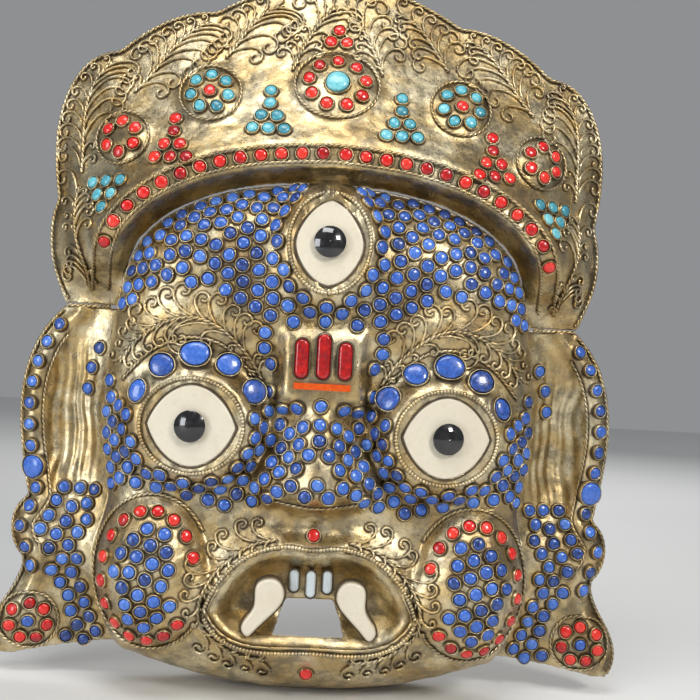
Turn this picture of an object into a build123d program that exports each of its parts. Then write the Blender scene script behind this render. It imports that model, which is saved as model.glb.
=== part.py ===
from build123d import *
import math
import os

import numpy as np

# A hollow ceremonial wall mask of gilt sheet brass: a three-eyed guardian face with a
# lobed crown and large ears. Cabochons of lapis, coral and turquoise sit in soldered
# collets, and the brows, muzzle and crown carry scrolled filigree wire.
#
# Frame, in millimetres: +Z up, the face looks towards -Y, and the plane Y = 0 is the
# wall that the open back rests on. X = 0 is the line of symmetry. "Height" below means
# the distance in front of the wall, and places on the relief are given as (x, z).

# ---------------------------------------------------------------- driving dimensions
SHEET = 1.0  # thickness of the worked sheet
SEAM = 0.7  # width of the soldered seam between two sheets
FIT = 0.3  # how closely a worked surface follows its points

STONE_RADIUS = 2.15  # small cabochons
BIG_RADIUS = 4.2  # the large turquoise on the crown and the large lapis on each ear
COLLET_WALL = 0.4
STONE_PLAY = 0.05  # gap between a stone and its collet
COLLET_HEIGHT = 1.5
STONE_BODY = 1.1  # straight side of a cabochon
STONE_CROWN = 0.8  # rise of its dome
FOOT_GAP = 0.12  # solder under a collet, a plate or a wire
PITCH = 2 * (STONE_RADIUS + STONE_PLAY + COLLET_WALL) + 0.15

WIRE = 0.55  # radius of a border wire
FILIGREE_WIDE, FILIGREE_TALL = 0.7, 0.8  # filigree is flat wire set on edge

# ---------------------------------------------------------------- outlines, right half
# Each is a chain of curves from the top centre down, and a list is one smooth stretch.
FACE_HALF = [
    [(0, 65.5), (20, 64), (47, 56.5), (63.5, 43.5), (70, 25), (74, -5), (74, -26)],
    [(74, -26), (71.5, -37), (71.2, -46), (75.5, -66), (72.5, -84), (65, -97.5)],
    [(65, -97.5), (46, -104), (22, -109), (0, -110)],
]
CROWN_HALF = [
    [(0, 142), (18, 139.5), (33, 134), (44, 128)],
    [(44, 128), (57, 125.5), (69, 119), (77.5, 112)],
    [(77.5, 112), (88, 107.5), (96.5, 93), (98.5, 74), (96.5, 57.5)],
    [(96.5, 57.5), (98.5, 46), (96, 31), (91.5, 21)],
]
EAR_HALF = [
    [(91.5, 20), (101.5, 6), (105.5, -12), (104, -33), (101.2, -47.5)],
    [(101.2, -47.5), (105.4, -53), (106, -61), (101.6, -69.5)],
    [(101.6, -69.5), (104, -78), (110, -89), (109, -104)],
]
MOUTH_HALF = [
    [(0, -58.8), (12, -57.8), (20, -60.8), (27.5, -67.5), (33.3, -79)],
    [(33.3, -79), (26, -86.8), (14, -89.4), (0, -89)],
]
GAPE_HALF = [
    [(0, -75.5), (8, -75.5)],
    [(8, -75.5), (11.8, -86.0)],
    [(11.8, -86.0), (0, -86.0)],
]
SIDE_EYE_TOP = [(-14.8, 0), (-12, 5.8), (-7, 10.9), (0, 13.3), (7, 10.9), (12, 5.8), (14.8, 0)]
BROW_EYE_HALF = [(0, 14.2), (3.2, 12.6), (8.6, 6.6), (11, -0.5), (9, -7), (3.4, -13), (0, -14.2)]
FANG = [
    (-5.8, 6.4), (-2.2, 9.2), (2.5, 7.6), (3.6, -0.5),
    (6.9, -8.4), (5.2, -9.9), (3.2, -8.4), (-2.9, -2.0),
]

# ---------------------------------------------------------------- places on the face
MOUTH_CENTRE = (0.0, -73.0)
SIDE_EYE, SIDE_EYE_SIZE = (41.8, -17.8), (14.8, 13.3)
SIDE_EYE_HEIGHT, SIDE_EYE_TURN = 45.0, 9.0  # turned outwards, in degrees
BROW_EYE, BROW_EYE_SIZE = (0.0, 44.0), (11.0, 14.2)
BROW_EYE_HEIGHT, BROW_EYE_LEAN = 47.5, 6.0  # leaning upwards, in degrees
SEAT_LIFT = 0.35  # solder under an eye, a bar or a tooth
EYE_THICK = 1.6
PUPIL_RADIUS = 5.2
CHEEK, CHEEK_SIZE, CHEEK_RISE = (53.5, -67.5), (19.5, 25.5), 12.0
BARS, BARS_HEIGHT = (0.0, 3.5), 45.5
BAR_WIDTH, BAR_LENGTHS, BAR_STEP = 4.6, (13.0, 15.0, 12.5), 7.1
FANG_PLACE, FANG_THICK = (15.0, -76.3), 3.0
TOOTH_TOP, TOOTH_STEP, TOOTH_WIDTH, TOOTH_LENGTHS = -65.0, 5.6, 3.1, (7.4, 8.8, 7.6)
LID_STONES = [  # x, z, then the radii across and up
    (60.0, -7.6, 3.0, 3.9),
    (52.2, 0.4, 4.4, 4.0),
    (41.8, 4.2, 5.1, 4.2),
    (31.6, 1.2, 4.2, 3.8),
    (23.3, -6.6, 4.3, 4.1),
]
BROW_SPINE = [(20, -1.5), (29, 10.5), (42.5, 17.5), (56, 13.5), (67, 1.5)]
MUZZLE_SPINE = [(12, -54.2), (20, -56.4), (29, -63.6), (36.8, -78.6), (29, -88.8), (14, -93.6)]
LIP_CORALS = [(0.0, -52.5), (0.0, -99.4)]

# ---------------------------------------------------------------- places on the crown
CROWN_FOOT, CROWN_RIDGE, CROWN_EDGE = 25.0, 40.0, 6.5  # heights
BAND_START, BAND_END = 5.2, 12.0  # the coral band, measured out from the face
BAND_CORALS, BAND_FOOT_Z = 13, 38.0  # corals on each side, and where the band ends
ROUNDELS = [(0.0, 99.5), (43.0, 94.5), (72.0, 77.5)]
ROUNDEL_SIZES = [(14.2, 12.4), (10.2, 10.2), (9.2, 9.2)]
ROUNDEL_RISE = 3.2
TOP_CORALS = [(0.0, 120.9), (-2.8, 116.2), (2.8, 116.2)]
CORAL_PYRAMID, TURQUOISE_PYRAMID, TURQUOISE_POINT = (53.8, 84.2), (22.3, 95.9), (75.5, 52.1)
LOBE, LOBE_RADIUS = (97.6, -91.0), 9.8
LEAVES = [  # the spine of each crown leaf, and the length of its longest curl
    ([(82, 26), (83.5, 37), (87, 48), (86.5, 61)], 7.5),
    ([(86.4, 66), (87, 80), (86.5, 93), (79, 107)], 8.5),
    ([(70, 95), (62.5, 105), (54, 117), (46, 123)], 8.5),
    ([(39, 109), (34, 117), (28.5, 125), (20, 130)], 8.0),
    ([(15.5, 104.5), (12, 114), (7.5, 123), (1.5, 131)], 8.0),
]

# ---------------------------------------------------------------- the back
HANGER_RADIUS, HANGER_WIRE, HANGER_HEIGHT = 7.0, 1.1, 4.0  # the hanging loop
HANGER_FOOT_Z = 65.8  # just above the top of the face's edge
PAD = (4.5, 5.0, 0.8)  # its two soldered pads


# ---------------------------------------------------------------- outline helpers
def mirrored(points):
    """The points mirrored in X = 0, in reverse order."""
    return [(-x, z) for x, z in reversed(points)]


def whole(half):
    """A half outline that starts and ends at X = 0, made whole."""
    return half + [mirrored(part) for part in reversed(half)]


def curve(points):
    return Spline(*points) if len(points) > 2 else Line(*points)


def sampled(stretches, count=24):
    """Points along smooth stretches, as rows of x, z."""
    rows = []
    for points in stretches:
        line = curve(points)
        rows += [line @ (i / count) for i in range(count)]
    rows.append(line @ 1)
    return np.array([(at.X, at.Y) for at in rows])


def evenly(chain, count):
    """The given number of points, evenly spaced along a chain."""
    steps = np.linalg.norm(np.diff(chain, axis=0), axis=1)
    run = np.concatenate([[0], np.cumsum(steps)])
    at = np.linspace(0, run[-1], count)
    return np.stack([np.interp(at, run, chain[:, 0]), np.interp(at, run, chain[:, 1])], 1)


def distance_to(x, z, chain):
    """The distance from points to a chain of short straight lines."""
    x, z = np.atleast_1d(x), np.atleast_1d(z)
    start, step = chain[:-1], np.diff(chain, axis=0)
    dx, dz = x[..., None] - start[:, 0], z[..., None] - start[:, 1]
    along = np.clip((dx * step[:, 0] + dz * step[:, 1]) / (step**2).sum(1), 0, 1)
    return np.hypot(dx - along * step[:, 0], dz - along * step[:, 1]).min(-1)


def inset(x, z, loop):
    """The distance inside a closed chain, negative outside it."""
    x, z = np.atleast_1d(x), np.atleast_1d(z)
    ax, az, bx, bz = loop[:-1, 0], loop[:-1, 1], loop[1:, 0], loop[1:, 1]
    spans = (az > z[..., None]) != (bz > z[..., None])
    rise = np.where(bz == az, 1e-9, bz - az)
    cross = ax + (z[..., None] - az) * (bx - ax) / rise
    within = (spans & (x[..., None] < cross)).sum(-1) % 2 == 1
    return np.where(within, 1, -1) * distance_to(x, z, loop)


def offset_chain(chain, out, low=-200.0, high=200.0):
    """A chain that runs clockwise from the top, moved outwards, between two levels of z."""
    chain = evenly(chain, 600)
    step = np.gradient(chain, axis=0)
    normal = np.stack([-step[:, 1], step[:, 0]], 1) / np.linalg.norm(step, axis=1)[:, None]
    chain = chain + normal * out
    return chain[(chain[:, 1] > low) & (chain[:, 1] < high)]


FACE_SIDE = sampled(FACE_HALF)
FACE_LOOP = sampled(whole(FACE_HALF))
CROWN_LOOP = sampled(whole(CROWN_HALF))
EAR_EDGE = sampled(EAR_HALF)
MOUTH_LOOP = sampled(whole(MOUTH_HALF))


# ---------------------------------------------------------------- relief
def ease(t):
    """A smooth step from 0 to 1."""
    t = np.clip(t, 0, 1)
    return t * t * (3 - 2 * t)


def bump(x, z, cx, cz, sx, sz):
    """A round hill of height 1."""
    return np.exp(-(((x - cx) / sx) ** 2) - ((z - cz) / sz) ** 2)


def reach(x, z, centre, size):
    """How far out places are from a centre, where 1 is on the ellipse of that size."""
    return np.hypot((x - centre[0]) / size[0], (z - centre[1]) / size[1])


def shoulder(t):
    """A quarter circle from 0 at t = 0 to 1 at t = 1, with a straight start."""
    low = 0.06
    start = math.sqrt(1 - (1 - low) ** 2)
    arc = np.sqrt(1 - (1 - np.clip(t, low, 1)) ** 2)
    return np.where(t < low, start + (t - low) * (1 - low) / start, arc)


def seat(h, flat, out):
    """Blends a flat seat into the relief, where out is 1 at its edge."""
    weight = 1 - ease((out - 1) / 0.45)
    return h * (1 - weight) + flat * weight


def face_relief(x, z):
    """The height of the face's front surface."""
    ax = np.abs(x)
    inward = inset(x, z, FACE_LOOP)
    rim = np.interp(z, [-110, -92, -40, 15, 40, 66], [11, 15, 18, 19, 21, 23])
    roll = np.interp(z, [-110, -90, -40, 30, 66], [17, 17, 15, 22, 25])
    plateau = 37 + 8.5 * bump(x, z, 0, 36, 55, 30) - 3 * bump(x, z, 0, -104, 60, 16)
    h = rim + (plateau - rim) * shoulder(inward / roll)
    h = h + 2.5 * bump(ax, z, 34, 16, 22, 9)  # brow
    h = h - 3.0 * bump(ax, z, 22, -12, 9, 14)  # beside the nose
    crest = np.interp(z, [-49, -43.5, -39, -30, -15, 0, 12], [0, 6, 16, 17, 10, 3.5, 0])
    width = np.interp(z, [-45, -36, -15, 10], [15, 14.5, 9.5, 8])
    h = h + crest * np.exp(-np.abs(x / width) ** 2.3)  # nose
    h = h + 5.0 * bump(ax, z, 15.5, -35, 6, 6)  # nostrils
    h = h + CHEEK_RISE * np.clip(1 - reach(ax, z, CHEEK, CHEEK_SIZE) ** 2, 0, 1) ** 0.8
    h = h + 7.0 * np.exp(-((distance_to(x, z, MOUTH_LOOP) / 8) ** 2))  # lips
    turned = math.tan(math.radians(SIDE_EYE_TURN)) * (ax - SIDE_EYE[0])
    h = seat(h, SIDE_EYE_HEIGHT - turned, reach(ax, z, SIDE_EYE, SIDE_EYE_SIZE) / 1.22)
    leant = math.tan(math.radians(BROW_EYE_LEAN)) * (z - BROW_EYE[1])
    h = seat(h, BROW_EYE_HEIGHT - leant, reach(x, z, BROW_EYE, BROW_EYE_SIZE) / 1.22)
    return seat(h, BARS_HEIGHT, np.maximum(ax / 11.5, np.abs(z - BARS[1]) / 10.0))


def crown_relief(x, z):
    """The height of the crown: a wall up to the coral band, then a slope to the lobed edge."""
    outward = -inset(x, z, FACE_LOOP)
    edge = np.maximum(inset(x, z, CROWN_LOOP), 0)
    share = edge / (edge + np.maximum(outward - BAND_END, 0) + 1e-6)
    field = CROWN_EDGE + (CROWN_RIDGE - CROWN_EDGE) * share**1.15
    wall = CROWN_FOOT + (CROWN_RIDGE - CROWN_FOOT) * ease(outward / BAND_START)
    h = np.where(outward < BAND_END, wall, field)
    for centre, size in zip(ROUNDELS, ROUNDEL_SIZES):
        out = reach(np.abs(x), z, centre, size) / 1.1
        h = h + ROUNDEL_RISE * np.clip(1 - out**2, 0, 1) ** 0.8
    foot = ease((z - 21) / 26)
    low = 9.0 + 9.0 * np.exp(-np.clip(outward, 0, 99) / 6)
    return h * foot + low * (1 - foot)


def ear_relief(x, z):
    """The height of an ear: a raised rim round a long hollow, and a thick lobe."""
    ax = np.abs(x)
    outward = -inset(x, z, FACE_LOOP)
    edge = distance_to(ax, z, EAR_EDGE)
    h = 9.0 + 6.0 * np.exp(-np.clip(outward, 0, 99) / 6)
    h = h + 3.0 * np.exp(-(((edge - 6.0) / 3.5) ** 2))
    h = h - 4.0 * bump(ax, z, 87, -22, 8, 24)
    h = h + 3.5 * bump(ax, z, 88, -62, 16, 16)
    return h + 5.0 * bump(ax, z, LOBE[0], LOBE[1], 10, 10)


def mouth_relief(x, z):
    """The height of the dished plate behind the lips."""
    return 41.0 - 9.5 * ease(distance_to(x, z, MOUTH_LOOP) / 10)


# ---------------------------------------------------------------- sheets
def across(inner, outer, rows, bias=1.0):
    """Points on straight lines from an inner chain to an outer one of the same length."""
    t = np.linspace(0, 1, rows) ** bias
    return inner[:, None] + (outer - inner)[:, None] * t[None, :, None]


def raised(places, relief):
    """Places on the relief as points in space."""
    x, z = places[..., 0], places[..., 1]
    return np.stack([x, -relief(x, z), z], -1)


def behind(points, seams, rim):
    """The back of a sheet. Seam rows stay in X = 0, and a rim's edge stays in Y = 0."""
    away = np.cross(np.gradient(points, axis=0), np.gradient(points, axis=1))
    if away[..., 1].sum() < 0:
        away = -away
    away[list(seams), :, 0] = 0
    if rim:
        away[:, -1, 1] = 0
    return points + SHEET * away / np.linalg.norm(away, axis=2)[..., None]


def surface(points):
    rows = [[tuple(at) for at in row] for row in points.tolist()]
    return Face.make_surface_from_array_of_points(rows, tol=FIT)


def edge_through(face, point):
    return min(face.edges(), key=lambda edge: edge.distance_to(Vector(*point)))


def sheet(points, seams=(), rim=False):
    """A solid sheet through a grid of points. Rows named as seams lie in X = 0, where the
    sheet meets its own reflection, and a rim's last edge is a flat ring on the wall."""
    back_points = behind(points, seams, rim)
    front, back = surface(points), surface(back_points)
    mid_u, mid_v = points.shape[0] // 2, points.shape[1] // 2
    borders = [(mid_u, 0), (mid_u, -1)] + [(row, mid_v) for row in (0, -1) if row not in seams]
    pairs = [(edge_through(front, points[at]), edge_through(back, back_points[at])) for at in borders]
    ring = []
    if rim:
        outer, inner = [Wire([edge, edge.mirror(Plane.YZ)]) for edge in pairs.pop(1)]
        ring = [Face(outer, [inner])]
    faces = [front, back] + [Face.make_surface_from_curves(*pair) for pair in pairs]
    if seams:
        faces += [face.mirror(Plane.YZ) for face in faces]
    return Solid(Shell(faces + ring))


def face_shell():
    """The face, from the lips out to its edge and back down to the wall."""
    outer, lip = evenly(FACE_SIDE, 80), sampled(MOUTH_HALF)
    cx, cz = MOUTH_CENTRE
    turn = np.arctan2(np.abs(outer[:, 0]), outer[:, 1] - cz)
    lip_turn = np.arctan2(np.abs(lip[:, 0]), lip[:, 1] - cz)
    inner = np.stack([np.interp(turn, lip_turn, lip[:, 0]), np.interp(turn, lip_turn, lip[:, 1])], 1)
    inner[[0, -1], 0] = cx
    outer[[0, -1], 0] = cx
    front = raised(across(inner, outer, 30), face_relief)
    down = np.linspace(5 / 6, 0, 6)[None, :, None]
    skirt = front[:, -1:] * (np.array([1, 0, 1]) + np.array([0, 1, 0]) * down)
    return sheet(np.concatenate([front, skirt], axis=1), seams=(0, -1), rim=True)


def crown_sheet():
    inner = evenly(offset_chain(FACE_SIDE, SEAM, low=20.5), 80)
    inner[0, 0] = 0
    outer = evenly(sampled(CROWN_HALF), 80)
    return sheet(raised(across(inner, outer, 30, 1.3), crown_relief), seams=(0,))


def ear_sheet():
    inner = evenly(offset_chain(FACE_SIDE, SEAM, low=-97, high=19.8), 50)
    outer = evenly(EAR_EDGE, 50)
    return sheet(raised(across(inner, outer, 14), ear_relief))


def mouth_plate():
    """The dished plate tucked behind the lips, with the open gape between the fangs."""
    outer = evenly(sampled(MOUTH_HALF), 40)
    outer = outer + (outer - np.array(MOUTH_CENTRE)) * 0.05
    inner = evenly(sampled(GAPE_HALF), 40)
    outer[[0, -1], 0] = 0
    inner[[0, -1], 0] = 0
    return sheet(raised(across(inner, outer, 10), mouth_relief), seams=(0, -1))


# ---------------------------------------------------------------- placing on the relief
def height(relief, x, z):
    return float(relief(np.array([x]), np.array([z]))[0])


def normal_at(relief, x, z):
    """The direction straight out of the relief."""
    step = 0.4
    slope_x = (height(relief, x + step, z) - height(relief, x - step, z)) / (2 * step)
    slope_z = (height(relief, x, z + step) - height(relief, x, z - step)) / (2 * step)
    return Vector(-slope_x, -1, -slope_z).normalized()


def point_on(relief, x, z, lift=0.0):
    return Vector(x, -height(relief, x, z), z) + normal_at(relief, x, z) * lift


def bearing_vector(bearing):
    """A direction in the wall plane, in degrees clockwise from up."""
    return Vector(math.sin(math.radians(bearing)), 0, math.cos(math.radians(bearing)))


def seat_plane(relief, x, z, spread, bearing=0.0):
    """A plane resting on the relief, clear of it within the spread, with X along the bearing."""
    normal, foot = normal_at(relief, x, z), point_on(relief, x, z)
    rise = 0.0
    for i in range(8):
        side = bearing_vector(45 * i) * spread
        rise = max(rise, (point_on(relief, x + side.X, z + side.Z) - foot).dot(normal))
    along = bearing_vector(bearing)
    along = along - normal * along.dot(normal)
    return Plane(foot + normal * (rise + FOOT_GAP), x_dir=along, z_dir=normal)


def flat_plane(x, z, h):
    """A plane that faces straight out at a height, with X across and Y up."""
    return Plane((x, -h, z), x_dir=(1, 0, 0), z_dir=(0, -1, 0))


# ---------------------------------------------------------------- stones and collets
def cabochon(radius, body=STONE_BODY, crown=STONE_CROWN):
    """A stone with a flat foot and a domed top, standing on Z = 0."""
    top = body + crown
    dome_radius = (radius**2 + crown**2) / (2 * crown)
    side = Polyline((0, top), (0, 0), (radius, 0), (radius, body))
    dome = RadiusArc((radius, body), (0, top), -dome_radius)
    return revolve(Plane.XZ * make_face(side + dome), Axis.Z).solid()


def oval_stone(rx, ry):
    """A cabochon with an oval outline."""
    body = extrude(Ellipse(rx, ry), STONE_BODY + 0.9)
    return fillet(body.faces().sort_by(Axis.Z)[-1].edges(), 0.85).solid()


def collet(rx, ry, tall=COLLET_HEIGHT):
    """The strip of brass that is bent round a stone."""
    wide = STONE_PLAY + COLLET_WALL
    ring = Ellipse(rx + wide, ry + wide) - Ellipse(rx + STONE_PLAY, ry + STONE_PLAY)
    return extrude(ring, tall).solid()


SMALL = cabochon(STONE_RADIUS), collet(STONE_RADIUS, STONE_RADIUS)
BIG = cabochon(BIG_RADIUS, crown=1.5), collet(BIG_RADIUS, BIG_RADIUS)


def settings(relief, places, pair=SMALL, spread=STONE_RADIUS):
    """Stones and their collets at the given places: two lists of solids."""
    planes = [seat_plane(relief, x, z, spread) for x, z in places]
    return [plane * pair[0] for plane in planes], [plane * pair[1] for plane in planes]


def both_sides(places):
    return places + [(-x, z) for x, z in places if x != 0]


def packed(relief, allowed, rank, box):
    """Fills the allowed part of the right half with touching collets, lowest rank first."""
    step = 0.5
    xs, zs = np.arange(0, box[0], step), np.arange(box[1], box[2], step)
    x, z = [grid.ravel() for grid in np.meshgrid(xs, zs, indexing="ij")]
    keep = allowed(x, z) & ((x == 0) | (x >= PITCH / 2))
    x, z = x[keep], z[keep]
    order = np.argsort(rank(x, z), kind="stable")
    x, z = x[order], z[order]
    slope_x = (relief(x + step, z) - relief(x - step, z)) / (2 * step)
    slope_z = (relief(x, z + step) - relief(x, z - step)) / (2 * step)
    out = np.stack([-slope_x, -np.ones_like(x), -slope_z], 1)
    out /= np.linalg.norm(out, axis=1)[:, None]
    foot = np.stack([x, -relief(x, z), z], 1)
    top = foot + out * COLLET_HEIGHT
    free = np.ones(len(x), bool)
    places = []
    for i in range(len(x)):
        if free[i]:
            places.append((float(x[i]), float(z[i])))
            free &= np.linalg.norm(foot - foot[i], axis=1) >= PITCH
            free &= np.linalg.norm(top - top[i], axis=1) >= PITCH
    return places


BROW_LINE = sampled([BROW_SPINE])
LID_LINE = np.array([(x, z) for x, z, _, _ in LID_STONES], float)
NOSE_FOOT_X, NOSE_FOOT_Z = (0, 12, 18, 30, 44, 60, 74), (-38.5, -37.5, -41, -44.5, -39.5, -38, -41)


def field_allowed(x, z):
    """The lapis field: clear of the edge, eyes, brows, lids, bars, muzzle and cheeks."""
    brow = distance_to(x, z, BROW_LINE)
    above = z > np.interp(x, BROW_LINE[:, 0], BROW_LINE[:, 1])
    clear = (brow > np.where(above, 11.5, 7.0)) | ((x < BROW_SPINE[0][0]) & (brow > 6.0))
    clear &= distance_to(x, z, LID_LINE) > 7.6
    clear &= (x > 14.0) | (np.abs(z - BARS[1]) > 12.5)
    clear &= z > np.interp(x, NOSE_FOOT_X, NOSE_FOOT_Z)
    clear &= reach(x, z, SIDE_EYE, SIDE_EYE_SIZE) > 1.36
    clear &= reach(x, z, BROW_EYE, BROW_EYE_SIZE) > 1.42
    return clear & (inset(x, z, FACE_LOOP) > 3.2)


def lapis_field():
    """Places of the small lapis on the forehead, and those below the brows."""
    places = packed(face_relief, field_allowed, lambda x, z: inset(x, z, FACE_LOOP), (75, -45, 66))
    forehead = [at for at in places if at[1] > 10]
    midface = [at for at in places if at[1] <= 10]
    return both_sides(forehead), both_sides(midface)


def ring_places(centre, size, count, start=0.0, end=360.0):
    """Places round an ellipse, by bearing."""
    places = []
    for i in range(count):
        at = bearing_vector(start + (end - start) * i / count)
        places.append((centre[0] + size[0] * at.X, centre[1] + size[1] * at.Z))
    return places


def cheek_places():
    """Places of one cheek's corals, open towards the mouth, and of the lapis inside them."""
    size = (CHEEK_SIZE[0] - 4.6, CHEEK_SIZE[1] - 4.6)
    corals = ring_places(CHEEK, size, 15, start=-72, end=246)
    inner = (size[0] - 4.6, size[1] - 4.6)
    lapis = packed(
        face_relief,
        lambda x, z: (reach(x, z, CHEEK, inner) < 1) & (x > 45),
        lambda x, z: np.hypot(x - CHEEK[0], z - CHEEK[1]),
        (76, -95, -40),
    )
    return corals, lapis


def pyramid(tip, counts, row_step):
    """Rows of touching stones, from the tip on."""
    places = []
    for row, count in enumerate(counts):
        for i in range(count):
            places.append((tip[0] + (i - (count - 1) / 2) * PITCH, tip[1] + row * row_step))
    return places


def band_places():
    """Places of the crown band's corals, on one side."""
    chain = offset_chain(FACE_SIDE, (BAND_START + BAND_END) / 2, low=BAND_FOOT_Z)
    return [(float(x), float(z)) for x, z in evenly(chain, 2 * BAND_CORALS + 1)[1::2]]


def ear_rim_places():
    """The lapis that follow one ear's edge, and the large one among them."""
    chain = offset_chain(EAR_EDGE, -4.4, low=-72, high=13)
    line = [(float(x), float(z)) for x, z in evenly(chain, 13)]
    big = line.pop(7)
    return line, [big]


def ear_inner_places():
    """The lapis packed in the lower ear, and the three beside the face at its top."""
    def allowed(x, z):
        clear = reach(x, z, LOBE, (LOBE_RADIUS + 3.6, LOBE_RADIUS + 3.6)) > 1
        clear &= (distance_to(x, z, EAR_EDGE) > 9.9) & (-inset(x, z, FACE_LOOP) > 5.5)
        return clear & (z < -44) & (z > -99)

    cluster = packed(ear_relief, allowed, lambda x, z: -z, (102, -98, -44))
    return cluster + [(77.8, 5.5), (80.5, -1.5), (81.5, -9.0)]


# ---------------------------------------------------------------- border wires
def wire_along(points, radius):
    """A round wire bent through points in space."""
    path = Polyline(*points)
    section = Plane(path @ 0, z_dir=path % 0) * Circle(radius)
    return sweep(section, path=path, transition=Transition.RIGHT).solid()


def border(relief, chain, count, radius=WIRE):
    """A border wire laid on the relief along a chain."""
    lift = radius + FOOT_GAP + 0.15
    return wire_along([point_on(relief, x, z, lift) for x, z in evenly(chain, count)], radius)


def oval_chain(centre, size):
    """A ring of wire that stops just short of meeting itself."""
    return np.array(ring_places(centre, size, 90, start=180.0, end=540.0))


def arch(chain):
    """A chain on the right that starts at X = 0, carried on over the top to the left."""
    return np.concatenate([chain[:0:-1] * [-1, 1], chain])


def reflected(shapes):
    return shapes + [shape.mirror(Plane.YZ) for shape in shapes]


def band_ropes():
    ropes = []
    for out in (BAND_START + 0.6, BAND_END - 0.6):
        ropes.append(border(crown_relief, arch(offset_chain(FACE_SIDE, out, low=26)), 46))
    return ropes


def roundel_ropes():
    centre = border(crown_relief, oval_chain(ROUNDELS[0], ROUNDEL_SIZES[0]), 26)
    side = [border(crown_relief, oval_chain(*at), 22) for at in zip(ROUNDELS[1:], ROUNDEL_SIZES[1:])]
    return [centre] + reflected(side)


def eye_ropes():
    side = border(face_relief, oval_chain(SIDE_EYE, [size + 2.3 for size in SIDE_EYE_SIZE]), 34)
    brow = border(face_relief, oval_chain(BROW_EYE, [size + 2.3 for size in BROW_EYE_SIZE]), 34)
    return [brow] + reflected([side])


def cheek_rope():
    """The wire round the right cheek, open towards the mouth."""
    return border(face_relief, np.array(ring_places(CHEEK, CHEEK_SIZE, 80, start=-56, end=236)), 30)


def seam_wires():
    """The wires that hide the seams between the face and crown, and the crown and ears."""
    over_face = border(crown_relief, arch(offset_chain(FACE_SIDE, SEAM / 2, low=23)), 46)
    over_ear = border(crown_relief, np.array([(74.5, 20.1), (90.5, 20.1)]), 5)
    return [over_face] + reflected([over_ear])


def mouth_ropes():
    """The wire over the upper lip and the one under the lower lip."""
    upper, lower = [offset_chain(sampled([part]), 1.4)[8:-8] for part in MOUTH_HALF]
    chains = (arch(upper), arch(lower[::-1]))
    return [border(face_relief, chain, 20, radius=0.7) for chain in chains]


def ear_ropes():
    edge = border(ear_relief, offset_chain(EAR_EDGE, -1.3, low=-102, high=18), 44)
    inner = border(ear_relief, offset_chain(EAR_EDGE, -8.2, low=-66, high=10), 26)
    lobe = border(ear_relief, oval_chain(LOBE, (LOBE_RADIUS, LOBE_RADIUS)), 22)
    return reflected([edge, inner, lobe])


# ---------------------------------------------------------------- filigree
SCROLL_LENGTHS = (5.0, 6.5, 8.0, 9.5)
SCROLL_ARCS = [(0.76, 34), (0.30, 62), (0.173, 95), (0.108, 120)]  # radius per length, and turn


def scroll(length, hand):
    """A curl of filigree whose stem starts along +X. Hand 1 curls clockwise."""
    at, heading = (0, 0), (math.cos(math.radians(28)), hand * math.sin(math.radians(28)))
    arcs = []
    for radius, turn in SCROLL_ARCS:
        arc = JernArc(start=at, tangent=heading, radius=radius * length, arc_size=-hand * turn)
        arcs.append(arc)
        at, heading = arc @ 1, arc % 1
    path = Wire([arc.edge() for arc in arcs])
    section = Plane(path @ 0, x_dir=(0, 0, 1), z_dir=path % 0) * Rectangle(FILIGREE_TALL, FILIGREE_WIDE)
    return sweep(section, path=path).solid()


SCROLLS = {(length, hand): scroll(length, hand) for length in SCROLL_LENGTHS for hand in (-1, 1)}


def spray(relief, spine, longest, spacing=4.6, lean=46.0, sides=(-1, 1)):
    """Curls along a spine, longest at its middle, that lean towards its tip."""
    chain = evenly(sampled([spine]), 101)
    run = np.linalg.norm(np.diff(chain, axis=0), axis=1).sum()
    count = round(run / spacing)
    solids = []
    for i in range(count):
        share = (i + 0.5) / count
        mark = round(share * 100)
        step = chain[min(100, mark + 1)] - chain[max(0, mark - 1)]
        heading = math.degrees(math.atan2(step[0], step[1]))
        wanted = longest * (0.6 + 0.4 * math.sin(math.pi * share))
        length = min(SCROLL_LENGTHS, key=lambda size: abs(size - wanted))
        for hand in sides:
            bearing = heading + hand * lean
            middle = bearing_vector(bearing) * (1.2 + 0.38 * length)
            x, z = chain[mark] + [middle.X, middle.Z]
            plane = seat_plane(relief, x, z, 0.36 * length, bearing)
            solids.append(plane * Pos(-0.38 * length, 0, FILIGREE_TALL / 2) * SCROLLS[(length, hand)])
    return solids


def leaf(relief, spine, longest, sides=(-1, 1)):
    """A filigree leaf: its spine wire and the curls on one or both sides of it."""
    stem = border(relief, sampled([spine]), 9, radius=FILIGREE_TALL / 2)
    return [stem] + spray(relief, spine, longest, sides=sides)


# ---------------------------------------------------------------- eyes, bars and teeth
def outline(stretches, size=(1, 1), gap=0.0):
    """A closed outline, grown by a gap where its half sizes are given."""
    grow = (1 + gap / size[0], 1 + gap / size[1])
    return Wire([curve([(x * grow[0], y * grow[1]) for x, y in points]) for points in stretches])


def eroded(body, radius):
    """A plate with its upper edge rounded."""
    return fillet(body.faces().sort_by(Axis.Z)[-1].edges(), radius).solid()


def strip_between(outer, inner, tall):
    """A strip of brass bent round between two outlines."""
    return extrude(Face(outer, [inner]), tall).solid()


def slot_strip(length, width, gap, wall, tall):
    """A strip of brass bent round an upright slot."""
    outer, inner = [SlotOverall(length + 2 * out, width + 2 * out, rotation=90) for out in (gap + wall, gap)]
    return extrude(outer - inner, tall).solid()


def eye(plane, stretches, size):
    """An eye's bone white, its onyx pupil and its brass bezel, on a seat plane."""
    white = eroded(extrude(Face(outline(stretches)), EYE_THICK), 0.6)
    pupil = Pos(0, 0, EYE_THICK + 0.05) * cabochon(PUPIL_RADIUS, body=0.3, crown=1.5)
    bezel = strip_between(outline(stretches, size, 0.7), outline(stretches, size, 0.15), EYE_THICK + 0.2)
    return plane * white, plane * pupil, plane * bezel


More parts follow.
